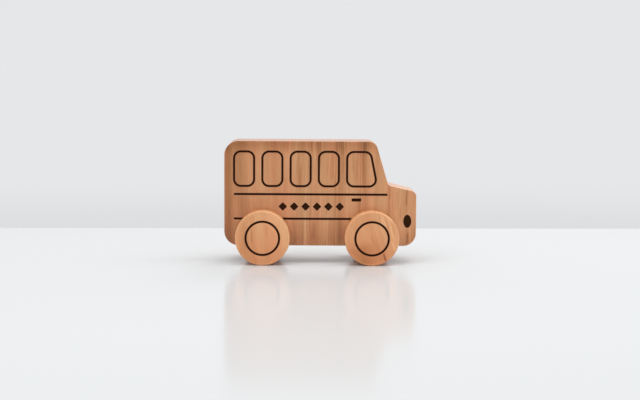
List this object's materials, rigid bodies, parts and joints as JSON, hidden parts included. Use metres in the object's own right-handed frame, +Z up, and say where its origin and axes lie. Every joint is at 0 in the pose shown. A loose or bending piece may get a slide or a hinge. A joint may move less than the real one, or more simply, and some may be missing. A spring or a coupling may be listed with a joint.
{
  "type": "wooden toy bus",
  "caption": "Wooden toy bus: a thick hardwood slab cut to a bus outline, with burnt window outlines and stripes, rolling on wooden wheels glued to dowel axles.",
  "frame": {"origin": "on the ground under the middle of the body, where the wheels stand", "axes": "+X towards the nose, +Y towards the left side, +Z up"},
  "size_m": [0.1414, 0.056, 0.0902],
  "materials": {
    "body_wood": "oiled satin, grain upright, lines burnt dark brown",
    "wheel_wood": "oiled satin, a ring burnt dark brown",
    "axle_wood": "plain sanded dowel"
  },
  "bodies": {
    "bus_body": {"body": "body_wood"},
    "front_axle_set": {"front_axle": "axle_wood", "front_left_wheel": "wheel_wood", "front_right_wheel": "wheel_wood"},
    "rear_axle_set": {"rear_axle": "axle_wood", "rear_left_wheel": "wheel_wood", "rear_right_wheel": "wheel_wood"}
  },
  "joints": [
    {"name": "front_axle_spin", "type": "hinge", "parent": "bus_body", "child": "front_axle_set", "pos_m": [0.0377, 0, 0.02], "axis": [0, 1, 0], "continuous": true},
    {"name": "rear_axle_spin", "type": "hinge", "parent": "bus_body", "child": "rear_axle_set", "pos_m": [-0.0423, 0, 0.02], "axis": [0, 1, 0], "continuous": true}
  ]
}
